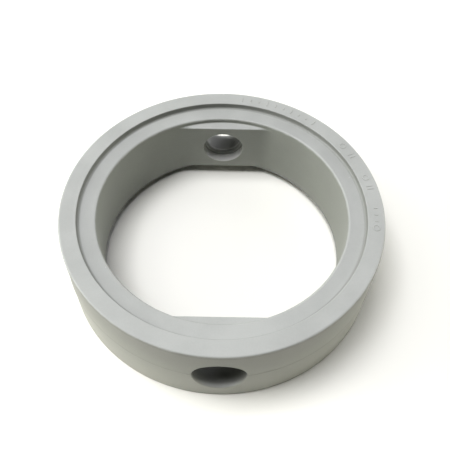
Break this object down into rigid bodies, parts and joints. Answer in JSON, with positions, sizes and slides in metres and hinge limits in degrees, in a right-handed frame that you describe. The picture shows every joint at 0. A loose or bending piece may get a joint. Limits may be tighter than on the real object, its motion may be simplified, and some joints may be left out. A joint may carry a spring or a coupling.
{
  "type": "butterfly valve seat ring",
  "caption": "Grey elastomer seat ring for a butterfly valve, with raised sealing bands, flat stem pads inside and a stem hole through each pad.",
  "frame": {"origin": "centre of the ring, where the flow axis crosses the stem axis", "axes": "+Z along the flow axis, +Y along the stem axis out of the back stem hole"},
  "size_m": [0.128, 0.128, 0.0348],
  "materials": {
    "grey_elastomer": "matte moulded"
  },
  "bodies": {
    "root": {"seat_ring": "grey_elastomer"}
  },
  "joints": []
}
